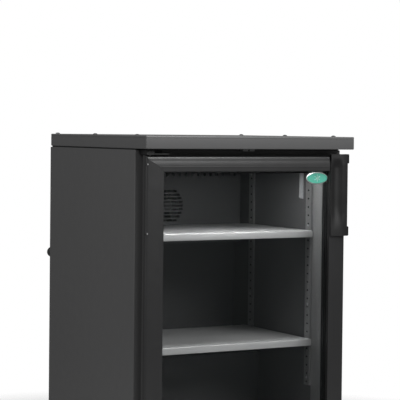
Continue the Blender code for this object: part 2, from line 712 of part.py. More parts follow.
def finned_block(name, facing, u, v, span, columns):
    """Upright fins threaded by three tubes, as one open lattice."""
    fin, tube, rows = 0.0016, 0.008, 2
    loops = [rectangle(u, v)]
    pitch = (u[1] - u[0] - fin) / columns
    height = (v[1] - v[0] - tube * (rows + 1)) / rows
    for i in range(columns):
        left = u[0] + fin + i * pitch
        for j in range(rows):
            low = v[0] + tube + j * (height + tube)
            loops.append(rectangle((left, left + pitch - fin), (low, low + height)))
    prism(name, facing, loops, span, "fin_aluminium")


def interior_fittings():
    """Lamp under the ceiling's front edge and the sensor's cover on the right wall."""
    ceiling = ROOM_TOP - CLEAR
    lamp = block("interior_lamp", (-0.210, 0.210), (-0.225, -0.207), (ceiling - 0.010, ceiling),
                 "lamp_lens")
    soften(lamp, 0.003, 2)
    sensor = block("sensor_cover", (0.2405, ROOM_HALF - CLEAR), (-0.151, -0.127),
                   (HEIGHT - 0.166, HEIGHT - 0.098), "light_plastic")
    soften(sensor, 0.003, 2)


# ---------------------------------------------------------------- machine compartment
def compressor():
    """Hermetic compressor can on its foot plate, with its terminal box."""
    at = (-0.110, 0.190, 0)
    low = CAB_BOTTOM + 0.0015 + CLEAR
    profile = [(0, low + 0.165), (0.030, low + 0.163), (0.050, low + 0.152), (0.060, low + 0.132),
               (0.063, low + 0.100), (0.066, low + 0.098), (0.066, low + 0.092),
               (0.063, low + 0.090), (0.062, low + 0.040), (0.052, low + 0.018),
               (0.030, low + 0.008), (0, low + 0.008)]
    can = turned("compressor", profile, at, "Z", "compressor_paint")
    foot = block("compressor_foot", (at[0] - 0.085, at[0] + 0.085), (0.140, 0.240),
                 (low + 0.006, low + 0.0105))
    pads = [block("compressor_pad", (at[0] + dx - 0.010, at[0] + dx + 0.010),
                  (at[1] + dy - 0.010, at[1] + dy + 0.010), (low, low + 0.008))
            for dx in (-0.070, 0.070) for dy in (-0.036, 0.036)]
    terminals = block("compressor_terminals", (at[0] + 0.052, at[0] + 0.088), (0.168, 0.212),
                      (low + 0.045, low + 0.095))
    join(can, foot, *pads, terminals)


def drip_tray():
    """Shallow tray on the compressor, where melt water evaporates."""
    low = CAB_BOTTOM + 0.0015 + 0.165 + 2 * CLEAR
    x, y = (-0.180, -0.040), (0.130, 0.250)
    tray = block("drip_tray", x, y, (low, low + 0.030), "black_plastic")
    wall = 0.002
    cut(tray, block("tray_hollow", (x[0] + wall, x[1] - wall), (y[0] + wall, y[1] - wall),
                    (low + wall, low + 0.05)))


def condenser():
    """Condenser block with its fan, standing on the base pan."""
    low = CAB_BOTTOM + 0.0015 + CLEAR
    finned_block("condenser_coil", "X", (0.122, 0.250), (low, low + 0.175), (0.1950, 0.2350), 9)
    fan("condenser", COND_FAN, Matrix.Rotation(math.radians(-90), 4, 'Z'))


# ---------------------------------------------------------------- base grille and controls
PANEL_X, PANEL_Z = (0.172, 0.268), (0.0175, 0.0495)
KNOB_SPOT = (0.198, 0.0335)
SWITCH_SPOT = (0.243, 0.0335)
SWITCH_HALF = (0.006, 0.010)
SWITCH_TILT = 7               # degrees to either side of the middle


def base_grille():
    """Louvred plinth grille, open behind, with a window for the control panel."""
    half, wall = 0.285, 0.002
    grille = block("base_grille", (-half, half), (GRILLE_FRONT, GRILLE_BACK),
                   (GRILLE_BOTTOM, GRILLE_TOP), "black_plastic")
    soften(grille, 0.0015, 2)
    tools = [block("grille_hollow", (-half + wall, half - wall), (GRILLE_FRONT + wall, -0.2),
                   (GRILLE_BOTTOM + wall, GRILLE_TOP - wall)),
             block("panel_window", (PANEL_X[0] - CLEAR, PANEL_X[1] + CLEAR), (-0.3, -0.25),
                   (PANEL_Z[0] - CLEAR, PANEL_Z[1] + CLEAR))]
    slots = [((x - 0.038, x + 0.038), (-0.3, -0.25), (z - 0.002, z + 0.002))
             for x in spread(-0.232, 0.118, 5) for z in spread(0.0215, 0.0455, 4)]
    cut(grille, *tools, blocks("grille_slots", slots))


def control_panel():
    """Panel in the grille with the thermostat's knob and the lamp's rocker switch."""
    window = (SWITCH_HALF[0] + 0.0004, SWITCH_HALF[1] + 0.0006)
    loops = [rectangle(PANEL_X, PANEL_Z, 0.002),
             circle(*KNOB_SPOT, 0.0031, 24),
             rectangle((SWITCH_SPOT[0] - window[0], SWITCH_SPOT[0] + window[0]),
                       (SWITCH_SPOT[1] - window[1], SWITCH_SPOT[1] + window[1]))]
    prism("control_panel", "Y", loops, (GRILLE_FRONT, GRILLE_FRONT + 0.003), "black_plastic")

    front = GRILLE_FRONT - CLEAR
    profile = [(0, 0.0110), (0.0088, 0.0110), (0.0100, 0.0100), (0.0112, 0.0010), (0.0112, 0),
               (0.0030, 0), (0.0030, -0.010), (0, -0.010)]
    knob = turned("thermostat_knob", profile, (0, 0, 0), "Y", "light_plastic", 24)
    pointer = block("knob_pointer", (-0.0012, 0.0012), (-0.0122, -0.0050), (0.0, 0.0095))
    pointer.parent = knob
    join(knob, pointer)
    knob.location = (KNOB_SPOT[0], front, KNOB_SPOT[1])

    arc = [math.radians(a) for a in spread(-35, 35, 8)]
    reach = SWITCH_HALF[1] / math.sin(math.radians(35))
    loop = [(-reach * math.cos(a) + reach * math.cos(arc[0]) - 0.0005, reach * math.sin(a))
            for a in arc]
    loop += [(0.0045, SWITCH_HALF[1] * 0.6), (0.0045, -SWITCH_HALF[1] * 0.6)]
    rocker = prism("lamp_switch", "X", [loop], (-SWITCH_HALF[0], SWITCH_HALF[0]), "light_plastic")
    rocker.location = (SWITCH_SPOT[0], GRILLE_FRONT + 0.0005, SWITCH_SPOT[1])
    rocker.rotation_euler = (-math.radians(SWITCH_TILT), 0, 0)


# ---------------------------------------------------------------- assembly
side_panels()
back_panel()
cable_gland()
wall_spacers()
base_pan()
feet()
foam_and_liner()
breaker_frame()
top_deck()
top_plate()
top_plugs()
hinge_brackets()
hang_on("door_hinge_axis", (PIN_X, PIN_Y, DOOR_BOTTOM),
        [door_frame(), *glazing(), door_gasket(), handle_grip(), door_badge()])
shelf_rails()
shelves()
shelf_clips()
evaporator()
interior_fittings()
compressor()
drip_tray()
condenser()
base_grille()
control_panel()
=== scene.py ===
# %% [markdown]
# # An undercounter display refrigerator
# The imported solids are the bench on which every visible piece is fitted. This lesson gives the
# cabinet its rolled sheet edges, the door its drawn profiles, and each surface a finish of its own.

# %% Load the frame
import json
import math

import bmesh
import bpy
import numpy as np
from mathutils import Matrix, Vector


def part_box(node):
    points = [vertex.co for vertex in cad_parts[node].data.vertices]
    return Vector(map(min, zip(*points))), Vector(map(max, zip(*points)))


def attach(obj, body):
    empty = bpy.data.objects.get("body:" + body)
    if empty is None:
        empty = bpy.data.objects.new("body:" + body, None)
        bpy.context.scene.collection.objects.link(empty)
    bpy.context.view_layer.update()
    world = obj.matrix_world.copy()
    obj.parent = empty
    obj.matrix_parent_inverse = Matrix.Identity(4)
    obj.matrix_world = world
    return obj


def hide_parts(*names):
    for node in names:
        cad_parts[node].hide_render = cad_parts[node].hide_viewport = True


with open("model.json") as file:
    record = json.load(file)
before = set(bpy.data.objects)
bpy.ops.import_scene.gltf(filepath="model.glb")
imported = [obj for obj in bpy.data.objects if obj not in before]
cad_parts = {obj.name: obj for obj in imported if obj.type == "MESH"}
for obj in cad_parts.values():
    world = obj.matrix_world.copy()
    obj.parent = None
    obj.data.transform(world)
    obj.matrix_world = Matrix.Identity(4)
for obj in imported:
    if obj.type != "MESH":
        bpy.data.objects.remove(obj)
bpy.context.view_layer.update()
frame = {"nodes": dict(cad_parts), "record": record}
nodes = frame["nodes"]

# %% [markdown]
# ## Sizes
# The main pieces take their corners from the solids, so they need no fitting afterwards. `span`
# gives a solid's two corners as numpy arrays. Smaller features have sizes of their own, in metres.


# %% Sizes taken from the solids
def span(node):
    """The node's lowest and highest corners."""
    low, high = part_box(node)
    return np.array(low), np.array(high)


plate_lo, plate_hi = span("top_plate")
door_lo, door_hi = span("door_frame")
panel_lo, panel_hi = span("side_panel_right")
HALF = panel_hi[0]
STILE, RAIL = 0.0505, 0.041
print("width %.3f, height %.3f" % (2 * HALF, plate_hi[2]))

# %% [markdown]
# ## The camera
# A long lens from the front left, a little above the worktop, turned to the right. The small
# downward shift keeps upright edges upright while the object stays in the frame.

# %% Camera
YAW, PITCH, ROLL = 29.205, -1.412, 0.593
camera_data = bpy.data.cameras.new("camera")
camera_data.lens = 144
camera_data.sensor_width = 36
camera_data.shift_y = -0.08
camera = bpy.data.objects.new("camera", camera_data)
turn = (Matrix.Rotation(math.radians(-YAW), 4, 'Z') @ Matrix.Rotation(math.radians(90 + PITCH), 4, 'X')
        @ Matrix.Rotation(math.radians(ROLL), 4, 'Z'))
camera.matrix_world = Matrix.Translation((-2.065, -3.718, plate_hi[2] + 0.018)) @ turn
bpy.context.scene.collection.objects.link(camera)
bpy.context.scene.camera = camera
bpy.context.scene.view_settings.view_transform = 'Standard'
print("camera at", [round(c, 3) for c in camera.location])

# %% [markdown]
# ## From arrays to pieces
# A piece is a stack of rings: each ring is a closed row of points, and consecutive rings are joined
# by quads. A profile carried along a path, a turned shape and a rounded slab are all such stacks,
# so one function makes the mesh for all of them.


# %% Lofted meshes
def lofted(name, rings, closed=False):
    """A mesh from rings shaped (rings, points, 3); quad (i, j) joins point j of rings i and i + 1.

    The two ends are closed by one face each, unless the stack runs back into its first ring.
    """
    rings = np.asarray(rings, float)
    count, size = rings.shape[:2]
    i = np.arange(count if closed else count - 1)[:, None]
    j = np.arange(size)[None, :]
    after, beside = (i + 1) % count, (j + 1) % size
    quads = np.stack([i * size + j, i * size + beside, after * size + beside, after * size + j], -1)
    faces = quads.reshape(-1, 4).tolist()
    if not closed:
        faces += [list(range(size))[::-1], list(range((count - 1) * size, count * size))]
    mesh = bpy.data.meshes.new(name)
    mesh.from_pydata(rings.reshape(-1, 3), [], faces)
    return mesh


def tidy(mesh, sharp=40):
    """Doubles merged, faces turned outwards, smooth shading with creases above `sharp` degrees."""
    work = bmesh.new()
    work.from_mesh(mesh)
    bmesh.ops.remove_doubles(work, verts=work.verts, dist=1e-6)
    bmesh.ops.dissolve_degenerate(work, edges=work.edges, dist=1e-7)
    bmesh.ops.recalc_face_normals(work, faces=work.faces)
    work.to_mesh(mesh)
    work.free()
    mesh.shade_smooth()
    mesh.set_sharp_from_angle(angle=math.radians(sharp))
    return mesh


def merged(name, meshes, sharp=40):
    """Several meshes as one mesh of separate bodies, each turned outwards."""
    work = bmesh.new()
    for mesh in meshes:
        tidy(mesh, sharp)
        work.from_mesh(mesh)
        bpy.data.meshes.remove(mesh)
    whole = bpy.data.meshes.new(name)
    work.to_mesh(whole)
    work.free()
    whole.shade_smooth()
    whole.set_sharp_from_angle(angle=math.radians(sharp))
    return whole


def place(name, meshes, material, body, stands_for=(), sharp=40):
    """Puts meshes into the scene as one piece that rides on a body and may stand for solids."""
    obj = bpy.data.objects.new(name, merged(name, meshes, sharp))
    obj.data.materials.append(material)
    bpy.context.scene.collection.objects.link(obj)
    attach(obj, body)
    if stands_for:
        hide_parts(*stands_for)
    print(f"{name}: {len(obj.data.polygons)} faces")
    return obj


# %% [markdown]
# ## Shapes that come back again and again
# A rounded slab is a rounded rectangle whose outline shrinks along a quarter circle at both ends.
# A turned piece is a radius that depends on height. A folded sheet is a centre line offset to both
# sides, with an arc at each bend.


# %% Slabs, turned pieces and folded sheets
def round_rect(half_u, half_v, radius, steps=6):
    """Points of a rounded rectangle about the origin: four quarter arcs of the radius."""
    angle = np.linspace(0, np.pi / 2, steps + 1)
    corners = [(1, 1, 0), (-1, 1, 1), (-1, -1, 2), (1, -1, 3)]
    arcs = [np.stack([su * (half_u - radius) + radius * np.cos(angle + k * np.pi / 2),
                      sv * (half_v - radius) + radius * np.sin(angle + k * np.pi / 2)], -1)
            for su, sv, k in corners]
    return np.concatenate(arcs)


AXES = {"x": (1, 2, 0), "y": (2, 0, 1), "z": (0, 1, 2)}   # the slab's u, v and thickness axes


def slab(lo, hi, corner, edge, axis="z", steps=4, groove=()):
    """A rounded slab between two corners: `corner` rounds its outline, `edge` both its rims.

    Ring k stands at height h and is drawn in by edge * (1 - sin t), with t along a quarter circle.
    A groove (below the upper face, width, depth) adds four rings that step in and out again.
    """
    lo, hi = np.array(lo, float), np.array(hi, float)
    u, v, w = AXES[axis]
    middle, half = (lo + hi) / 2, (hi - lo) / 2
    t = np.linspace(0, np.pi / 2, steps + 1)
    inset = np.concatenate([edge * (1 - np.sin(t)), edge * (1 - np.sin(t[::-1]))])
    height = np.concatenate([-half[w] + edge * (1 - np.cos(t)), half[w] - edge * (1 - np.cos(t[::-1]))])
    if groove:
        below, width, depth = groove
        at = half[w] - below + width * np.array([-0.5, -0.2, 0.2, 0.5])
        inset = np.concatenate([inset[:steps + 1], [0, depth, depth, 0], inset[steps + 1:]])
        height = np.concatenate([height[:steps + 1], at, height[steps + 1:]])
    rings = []
    for shrink, h in zip(inset, height):
        outline = round_rect(half[u] - shrink, half[v] - shrink, max(corner - shrink, 1e-5))
        ring = np.zeros((len(outline), 3))
        ring[:, u], ring[:, v] = middle[u] + outline[:, 0], middle[v] + outline[:, 1]
        ring[:, w] = middle[w] + h
        rings.append(ring)
    return lofted("slab", rings)


def turned(profile, at, axis="z", steps=48):
    """A turned piece: ring k has the profile's radius k and stands at its height k on the axis."""
    profile = np.array(profile, float)
    angle = np.linspace(0, 2 * np.pi, steps, endpoint=False)
    u, v, w = AXES[axis]
    rings = np.zeros((len(profile), steps, 3))
    rings[..., u] = at[u] + profile[:, :1] * np.cos(angle)
    rings[..., v] = at[v] + profile[:, :1] * np.sin(angle)
    rings[..., w] = at[w] + profile[:, 1:]
    return lofted("turned", rings)


def bent(points, radius, steps=6):
    """A path with each inner corner replaced by an arc that touches both its legs."""
    points = np.array(points, float)
    out = [points[0]]
    for before, corner, after in zip(points, points[1:], points[2:]):
        a, b = before - corner, after - corner
        a, b = a / np.linalg.norm(a), b / np.linalg.norm(b)
        half_angle = math.acos(np.clip(a @ b, -1, 1)) / 2
        bisector = (a + b) / np.linalg.norm(a + b)
        centre = corner + bisector * radius / math.sin(half_angle)
        start, end = corner + a * radius / math.tan(half_angle), corner + b * radius / math.tan(half_angle)
        t = np.linspace(0, 1, steps + 1)[:, None]
        arc = (start - centre) * (1 - t) + (end - centre) * t
        arc *= radius / np.linalg.norm(arc, axis=1, keepdims=True)
        out.extend(centre + arc)
    out.append(points[-1])
    return np.array(out)


def sheet_outline(path, thickness):
    """The closed outline of a sheet: its path, and back along the path moved by the thickness."""
    path = np.array(path, float)
    step = np.gradient(path, axis=0)
    normal = np.stack([-step[:, 1], step[:, 0]], -1)
    normal /= np.linalg.norm(normal, axis=1, keepdims=True)
    return np.concatenate([path, (path + normal * thickness)[::-1]])


def extruded(outline, axis, low, high):
    """An outline in the plane across `axis`, carried straight from low to high."""
    u, v, w = AXES[axis]
    rings = np.zeros((2, len(outline), 3))
    rings[..., u], rings[..., v] = outline[:, 0], outline[:, 1]
    rings[0, :, w], rings[1, :, w] = low, high
    return lofted("extruded", rings)


def screw_head(at, axis, out, radius=0.0035):
    """A pan head: a quarter circle of the radius turned into a dome, with a narrow pit in its middle."""
    t = np.linspace(0, np.pi / 2, 6)
    profile = [(radius, 0.0)] + [(radius * np.cos(a * 0.92), out * radius * 0.5 * np.sin(a)) for a in t]
    profile += [(0.0004, profile[-1][1]), (0.0004, profile[-1][1] - out * radius * 0.25)]
    return turned(profile, at, axis, 24)


# %% [markdown]
# ## Shader maths
# `Value` wraps a socket so that sums, products and differences read as plain arithmetic. `Paint`
# holds one material: `node` makes any other node from its type, settings and inputs.


# %% Shader helpers
class Value:
    """A socket whose arithmetic adds Math nodes."""

    def __init__(self, paint, socket):
        self.paint, self.socket = paint, socket

    def math(self, operation, *others, clamp=False):
        values = dict(enumerate([self, *others]))
        return self.paint.node('ShaderNodeMath', {"operation": operation, "use_clamp": clamp}, values)

    def __add__(self, other):
        return self.math('ADD', other)

    def __mul__(self, other):
        return self.math('MULTIPLY', other)

    def __sub__(self, other):
        return self.math('SUBTRACT', other)

    def __rsub__(self, other):
        return self.paint.node('ShaderNodeMath', {"operation": 'SUBTRACT'}, {0: other, 1: self})

    __radd__, __rmul__ = __add__, __mul__


class Paint:
    """One material and its Principled shader."""

    def __init__(self, name, **sockets):
        self.material = bpy.data.materials.new(name)
        self.material.use_nodes = True
        self.tree = self.material.node_tree
        self.shader = self.tree.nodes["Principled BSDF"]
        self.set(**sockets)

    def plug(self, socket, value):
        if isinstance(value, Value):
            self.tree.links.new(value.socket, socket)
        elif isinstance(value, (tuple, list)) and len(value) == 3 and socket.type == 'RGBA':
            socket.default_value = (*value, 1.0)
        else:
            socket.default_value = value

    def node(self, kind, settings=None, inputs=None, output=0):
        made = self.tree.nodes.new(kind)
        for key, value in (settings or {}).items():
            setattr(made, key, value)
        for key, value in (inputs or {}).items():
            self.plug(made.inputs[key], value)
        return Value(self, made.outputs[output])

    def set(self, **sockets):
        for key, value in sockets.items():
            self.plug(self.shader.inputs[key.replace("_", " ")], value)

    def where(self, scale=(1, 1, 1)):
        """Object coordinates, stretched per axis."""
        spot = self.node('ShaderNodeTexCoord', output="Object")
        return self.node('ShaderNodeMapping', inputs={"Vector": spot, "Scale": scale})

    def noise(self, scale, detail=3.0, stretch=(1, 1, 1)):
        return self.node('ShaderNodeTexNoise', inputs={
            "Vector": self.where(stretch), "Scale": scale, "Detail": detail})

    def mix(self, factor, a, b):
        return self.node('ShaderNodeMix', {"data_type": 'RGBA'}, {0: factor, 6: a, 7: b}, output=2)

    def bump(self, height, strength, distance):
        self.set(Normal=self.node('ShaderNodeBump', inputs={
            "Height": height, "Strength": strength, "Distance": distance}))


def shade(colour, factor):
    """The colour times a factor."""
    return tuple(c * factor for c in colour)


# %% [markdown]
# ## Finishes
# Powder coat is a matt skin with a fine orange-peel surface and slow changes of tone. Rolled steel
# carries long streaks along the rolling direction. Moulded plastic has a tight spark-eroded grain.


# %% Finishes
def powder_coat(name, colour, roughness=0.45, peel=900.0, tone=0.06, depth=0.00006):
    """Orange peel: a fine noise as bump, a slow noise for tone, and a middling one for gloss."""
    paint = Paint(name)
    slow = paint.noise(3.0, 4.0)
    paint.set(Base_Color=paint.mix(slow, shade(colour, 1 - tone), shade(colour, 1 + tone)),
              Roughness=paint.noise(40.0) * 0.10 + (roughness - 0.05))
    paint.bump(paint.noise(peel, 2.0), 0.55, depth)
    return paint.material


def streaked_steel(name, colour, roughness, stretch, metallic=1.0, depth=0.00002):
    """Rolling streaks: a noise that is long along one axis and fine across it."""
    paint = Paint(name, Metallic=metallic)
    streak = paint.noise(260.0, 4.0, stretch)
    cloud = paint.noise(9.0, 3.0)
    paint.set(Base_Color=paint.mix(streak * 0.7 + cloud * 0.3, shade(colour, 0.86), shade(colour, 1.10)),
              Roughness=streak * 0.16 + cloud * 0.08 + (roughness - 0.12))
    paint.bump(streak, 0.35, depth)
    return paint.material


def moulded(name, colour, roughness=0.42, grain=1500.0, depth=0.00005, gloss=0.5):
    """Moulded plastic: cell-like grain as bump, with slow scuffs in the gloss."""
    paint = Paint(name, Specular_IOR_Level=gloss)
    cells = paint.node('ShaderNodeTexVoronoi', {"feature": 'F1'},
                       {"Vector": paint.where(), "Scale": grain})
    scuff = paint.noise(28.0, 5.0)
    paint.set(Base_Color=paint.mix(scuff, shade(colour, 0.90), shade(colour, 1.12)),
              Roughness=scuff * 0.14 + (roughness - 0.07))
    paint.bump(cells, 0.4, depth)
    return paint.material


def rubber(name, colour):
    """Matt rubber with a dusty bloom in soft patches."""
    paint = Paint(name, Specular_IOR_Level=0.3)
    bloom = paint.noise(60.0, 6.0)
    paint.set(Base_Color=paint.mix(bloom, colour, shade(colour, 1.6)), Roughness=bloom * 0.2 + 0.62)
    paint.bump(paint.noise(900.0), 0.3, 0.00005)
    return paint.material


def pane_glass(name):
    """A clean pane: see-through face on, mirror-like at a grazing angle."""
    paint = Paint(name, Base_Color=(0.02, 0.024, 0.024), Metallic=0.0, IOR=1.5)
    smear = paint.noise(7.0, 4.0)
    paint.set(Roughness=smear * 0.03 + 0.015)
    clear = paint.node('ShaderNodeBsdfTransparent', inputs={"Color": (0.972, 0.974, 0.974)})
    grazing = paint.node('ShaderNodeLayerWeight', inputs={"Blend": 0.5}, output="Facing")
    mirror = grazing.math('POWER', 5.0) * 0.9 + 0.04
    gloss = Value(paint, paint.shader.outputs[0])
    mixed = paint.node('ShaderNodeMixShader', inputs={0: mirror, 1: clear, 2: gloss})
    paint.tree.links.new(mixed.socket, paint.tree.nodes["Material Output"].inputs["Surface"])
    return paint.material


def glowing(name, colour, strength):
    """A frosted lens lit from inside by a row of diodes 20 mm apart."""
    paint = Paint(name, Base_Color=colour, Roughness=0.35, Emission_Strength=strength)
    beads = paint.node('ShaderNodeTexWave', {"bands_direction": 'X'},
                       {"Vector": paint.where(), "Scale": 50.0 / 3.183, "Distortion": 0.0})
    paint.set(Emission_Color=paint.mix(beads, shade(colour, 0.75), colour))
    return paint.material


cabinet_paint = powder_coat("cabinet_paint", (0.056, 0.056, 0.0565), 0.50)
top_paint = powder_coat("top_paint", (0.061, 0.061, 0.0615), 0.44)
door_paint = powder_coat("door_paint", (0.0125, 0.0125, 0.0128), 0.34, peel=1400.0, depth=0.00003)
handle_plastic = moulded("handle_plastic", (0.0036, 0.0036, 0.0037), 0.42, gloss=0.42)
end_plastic = moulded("handle_end_plastic", (0.0022, 0.0022, 0.0023), 0.62, gloss=0.15)
black_plastic = moulded("black_plastic", (0.008, 0.008, 0.0082), 0.52)
light_plastic = moulded("light_plastic", (0.46, 0.47, 0.48), 0.45, grain=1100.0)
seal_and_shade_rubber = rubber("gasket_rubber", (0.012, 0.012, 0.0125))
sole_rubber = rubber("foot_rubber", (0.016, 0.016, 0.016))
clear_glass = pane_glass("clear_glass")
lens = glowing("lamp_lens", (0.93, 0.97, 1.0), 6.0)
liner_sheet = powder_coat("liner_sheet", (0.085, 0.085, 0.087), 0.42, peel=600.0)
shelf_steel = streaked_steel("shelf_steel", (0.60, 0.60, 0.60), 0.36, (0.02, 1, 1), 0.45)
rail_steel = streaked_steel("rail_steel", (0.30, 0.30, 0.302), 0.40, (1, 1, 0.02), 0.6)
bare_steel = streaked_steel("bare_steel", (0.48, 0.49, 0.50), 0.40, (1, 1, 0.04), 0.9)
trim_and_lit_band_steel = streaked_steel("trim_and_lit_band_steel", (0.22, 0.22, 0.22), 0.45, (1, 1, 0.02), 0.3)
dark_steel = streaked_steel("dark_steel", (0.006, 0.006, 0.0062), 0.50, (0.04, 1, 1), 0.1)
foam_fill = powder_coat("foam", (0.78, 0.70, 0.44), 0.9, peel=260.0, tone=0.1, depth=0.0004)
fin_metal = streaked_steel("fin_aluminium", (0.70, 0.71, 0.73), 0.35, (1, 1, 0.03))
can_paint = powder_coat("compressor_paint", (0.018, 0.018, 0.019), 0.35, peel=500.0)
badge_enamel = powder_coat("badge_enamel", (0.075, 0.33, 0.25), 0.22, peel=200.0, depth=0.00002)
badge_metal = streaked_steel("badge_metal", (0.62, 0.66, 0.64), 0.30, (0.05, 1, 1))
SLOT_FINISH = {
    "cabinet_paint": cabinet_paint, "top_paint": top_paint, "door_paint": door_paint,
    "handle_plastic": handle_plastic, "black_plastic": black_plastic, "light_plastic": light_plastic,
    "gasket_rubber": seal_and_shade_rubber, "foot_rubber": sole_rubber, "clear_glass": clear_glass,
    "lamp_lens": lens, "liner_sheet": liner_sheet, "shelf_steel": shelf_steel,
    "rail_steel": rail_steel, "bare_steel": bare_steel, "foam": foam_fill,
    "fin_aluminium": fin_metal, "compressor_paint": can_paint, "badge_enamel": badge_enamel}
for row in frame["record"]["subparts"]:
    for material_slot in nodes[row["node"]].material_slots:
        material_slot.material = SLOT_FINISH[row["material_slot"]]
for name in ("hinge_bracket_top", "hinge_bracket_bottom"):
    nodes[name].material_slots[0].material = dark_steel
print("finishes:", len(SLOT_FINISH))

# %% [markdown]
# ## Worktop plate
# A flat board wrapped in painted sheet. Its rims are rolled over a small radius, which is what
# catches the light along the front edge, so it is a rounded slab rather than a box, with a fine
# groove where the sheet folds. Below it lie dark seal strips, which also paint the shade in the
# gap, and a clip with its screw.

# %% Worktop plate and its plugs
CORNER, RIM = 0.0030, 0.0022
FOLD_LINE = (0.0058, 0.0014, 0.0005)
place("worktop_plate", [slab(plate_lo, plate_hi, CORNER, RIM, groove=FOLD_LINE)],
      top_paint, "cabinet", ["top_plate"])

STRIP = 0.001
SIDE_STRIP_X, SIDE_STRIP_Y = 0.2985, (-0.232, 0.262)
CROSS_STRIP_X, CROSS_STRIP_Y = 0.2965, (-0.2305, 0.2605)
gap_lo, gap_hi = panel_hi[2] - 0.0005, plate_lo[2]
# Painted shade: the dark strips close the whole gap under the plate, so it reads dark all round.
seal_and_gap_shade_strips = [slab((s * SIDE_STRIP_X - STRIP, SIDE_STRIP_Y[0], gap_lo),
               (s * SIDE_STRIP_X + STRIP, SIDE_STRIP_Y[1], gap_hi), 0.0008, 0.0002) for s in (-1, 1)]
seal_and_gap_shade_strips += [slab((-CROSS_STRIP_X, y - STRIP, gap_lo), (CROSS_STRIP_X, y + STRIP, gap_hi), 0.0008, 0.0002)
           for y in CROSS_STRIP_Y]
place("plate_seal_and_gap_shade", seal_and_gap_shade_strips, seal_and_shade_rubber, "cabinet")

CLIP_X, CLIP_HALF, CLIP_DROP = 0.012, 0.017, 0.0060
CLIP_FRONT, CLIP_REAR = -0.255, -0.2375
clip = slab((CLIP_X - CLIP_HALF, CLIP_FRONT, plate_lo[2] - CLIP_DROP),
            (CLIP_X + CLIP_HALF, CLIP_REAR, plate_lo[2]), 0.0015, 0.0006)
place("plate_clip", [clip], trim_and_lit_band_steel, "cabinet")
clip_screw = screw_head((CLIP_X, CLIP_FRONT, plate_lo[2] - CLIP_DROP / 2), "y", -1, 0.0024)
place("plate_clip_screw", [clip_screw], dark_steel, "cabinet")

plug_names = [name for name in nodes if name.startswith("top_plug_")]
plug_t = np.linspace(0, np.pi / 2, 8)
plugs = []
for name in plug_names:
    lo, hi = span(name)
    radius, rise = (hi[0] - lo[0]) / 2, hi[2] - lo[2]
    dome = [(radius, 0), (radius, rise * 0.12)]
    dome += [(radius * 0.96 * np.cos(a), rise * (0.15 + 0.85 * np.sin(a))) for a in plug_t[:-1]]
    dome += [(0.0001, rise)]
    plugs.append(turned(dome, ((lo[0] + hi[0]) / 2, (lo[1] + hi[1]) / 2, lo[2])))
place("worktop_plugs", plugs, black_plastic, "cabinet", plug_names)

# %% [markdown]
# ## Cabinet sides
# Each side is one sheet folded through ninety degrees into the front flange. The fold has a real
# radius: it is the sheet's path with an arc in the corner, offset by the sheet's thickness.


# %% Side sheets
def side_sheet(name, s):
    """A folded side: rear edge, long wall, rounded fold, front flange."""
    flange, fold_radius, thickness = 0.262, 0.0025, 0.0008
    path = bent([(s * HALF, panel_hi[1]), (s * HALF, panel_lo[1]), (s * flange, panel_lo[1])], fold_radius)
    outline = sheet_outline(path, -thickness * s)
    mesh = extruded(outline, "z", panel_lo[2], panel_hi[2])
    place("side_sheet_" + name, [mesh], cabinet_paint, "cabinet",
          ["side_panel_" + name])


side_sheet("left", -1)
side_sheet("right", 1)

# %% [markdown]
# ## Door frame
# Four lengths of one drawn profile, mitred at the corners. The profile has a well rounded outer
# edge, a slightly crowned face that comes forward towards the glass, and one fine raised line.
# Stiles are a little broader than rails, so each point of the profile has one distance from the
# side and one from the top.

# %% Door frame
skin, back = 0.017, door_hi[1] - door_lo[1]
outer_r, CROWN = 0.0080, 0.0017
RIB_AT, RIB_WIDTH, RIB_HEIGHT = 0.0380, 0.0012, 0.00022
t = np.linspace(0, np.pi / 2, 11)
rounding = np.stack([outer_r * (1 - np.sin(t[::-1])), outer_r * (1 - np.cos(t[::-1]))], -1)
rounding[:, 1] += CROWN
face_u = np.linspace(outer_r, STILE - 0.002, 27)[1:]
crown_u = 0.9 * STILE
crown = CROWN * ((face_u - crown_u) / (crown_u - outer_r)) ** 2 - CROWN
rib = -RIB_HEIGHT * np.exp(-((face_u - RIB_AT) / RIB_WIDTH) ** 2)
face = np.stack([face_u, CROWN + crown + rib], -1)
inner_edge = np.array([(STILE - 0.0008, 0.0004), (STILE - 0.0002, 0.0013), (STILE, 0.0030), (STILE, 0.0107)])
inside = np.array([(STILE - 0.0125, 0.0107), (STILE - 0.0125, 0.0253), (STILE - 0.002, 0.0253),
                   (STILE - 0.002, back), (0.0145, back), (0.014, back - 0.0005), (0.014, skin)])
section = np.concatenate([[(0.0, skin), (0.0, skin * 0.6)], rounding, face, inner_edge, inside])
blend_in = np.clip((section[:, 0] - 0.014) / 0.020, 0, 1)
rail_u = section[:, 0] - (STILE - RAIL) * blend_in
MITRE_GAP = 0.00012


def frame_length(corner_a, corner_b):
    """One length of the profile between two mitred corners, each given as signs (x, z)."""
    rings = []
    for (sx, sz), (ox, oz) in ((corner_a, corner_b), (corner_b, corner_a)):
        ring = np.zeros((len(section), 3))
        edge = door_hi if sx > 0 else door_lo
        top = door_hi if sz > 0 else door_lo
        ring[:, 0] = edge[0] - sx * section[:, 0] + np.sign(ox - sx) * MITRE_GAP
        ring[:, 2] = top[2] - sz * rail_u + np.sign(oz - sz) * MITRE_GAP
        ring[:, 1] = door_lo[1] + section[:, 1]
        rings.append(ring)
    return lofted("frame_length", rings)


corners = [(-1, -1), (1, -1), (1, 1), (-1, 1)]
place("door_profiles", [frame_length(a, b) for a, b in zip(corners, corners[1:] + corners[:1])],
      door_paint, "door", ["door_frame"], sharp=28)

# %% [markdown]
# ## Gasket
# A magnetic door seal is a soft hollow strip with bellows: from the side it shows two lips with a
# fold between them. Its profile runs round the door like the frame's.

